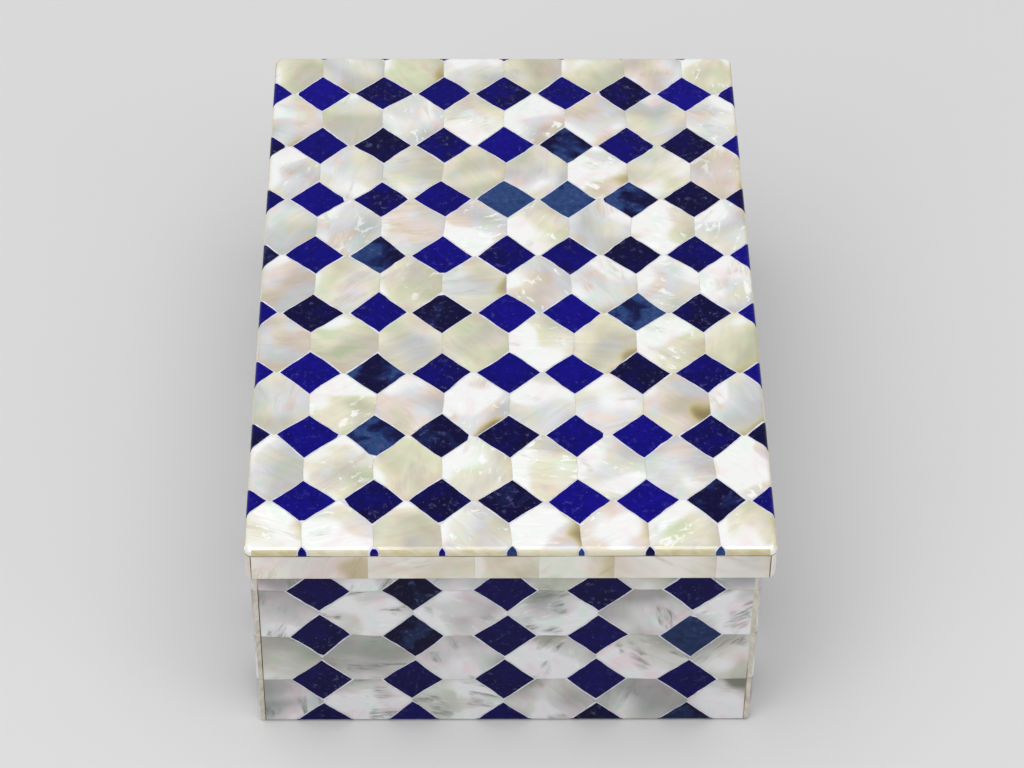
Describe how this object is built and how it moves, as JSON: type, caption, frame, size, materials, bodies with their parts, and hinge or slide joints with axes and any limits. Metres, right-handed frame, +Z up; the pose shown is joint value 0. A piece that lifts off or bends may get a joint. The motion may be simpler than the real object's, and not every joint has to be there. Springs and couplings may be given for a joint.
{
  "type": "shell box",
  "caption": "Small rectangular keepsake box, faced in mother-of-pearl hexagons and lapis diamonds, hollow, with a lid that lifts off.",
  "frame": {"origin": "middle of the box's underside", "axes": "+X to the right of the short front wall, +Y from front to back along the length, +Z up"},
  "size_m": [0.102, 0.153, 0.0517],
  "materials": {
    "marble": "honed white marble, plain",
    "lid_pearl": "polished mother-of-pearl, cream with pink and green lustre",
    "wall_pearl": "polished mother-of-pearl, greyer, with streaks",
    "rim_pearl": "polished mother-of-pearl strips, beige and pinkish",
    "lapis": "polished lapis lazuli, deep blue, lightly mottled"
  },
  "bodies": {
    "root": {"box_carcass": "marble", "front_pearl_tiles": "wall_pearl", "front_lapis_column_1": "lapis", "front_lapis_column_2": "lapis", "front_lapis_column_3": "lapis", "front_lapis_column_4": "lapis", "front_lapis_column_5": "lapis", "back_pearl_tiles": "wall_pearl", "back_lapis_column_1": "lapis", "back_lapis_column_2": "lapis", "back_lapis_column_3": "lapis", "back_lapis_column_4": "lapis", "back_lapis_column_5": "lapis", "left_pearl_tiles": "wall_pearl", "left_lapis_column_1": "lapis", "left_lapis_column_2": "lapis", "left_lapis_column_3": "lapis", "left_lapis_column_4": "lapis", "left_lapis_column_5": "lapis", "left_lapis_column_6": "lapis", "left_lapis_column_7": "lapis", "left_lapis_column_8": "lapis", "right_pearl_tiles": "wall_pearl", "right_lapis_column_1": "lapis", "right_lapis_column_2": "lapis", "right_lapis_column_3": "lapis", "right_lapis_column_4": "lapis", "right_lapis_column_5": "lapis", "right_lapis_column_6": "lapis", "right_lapis_column_7": "lapis", "right_lapis_column_8": "lapis", "lid_board": "marble", "lid_rim_front": "rim_pearl", "lid_rim_back": "rim_pearl", "lid_rim_left": "rim_pearl", "lid_rim_right": "rim_pearl", "lid_pearl_tiles": "lid_pearl", "lid_lapis_row_1": "lapis", "lid_lapis_row_2": "lapis", "lid_lapis_row_3": "lapis", "lid_lapis_row_4": "lapis", "lid_lapis_row_5": "lapis", "lid_lapis_row_6": "lapis", "lid_lapis_row_7": "lapis", "lid_lapis_row_8": "lapis"}
  },
  "joints": []
}
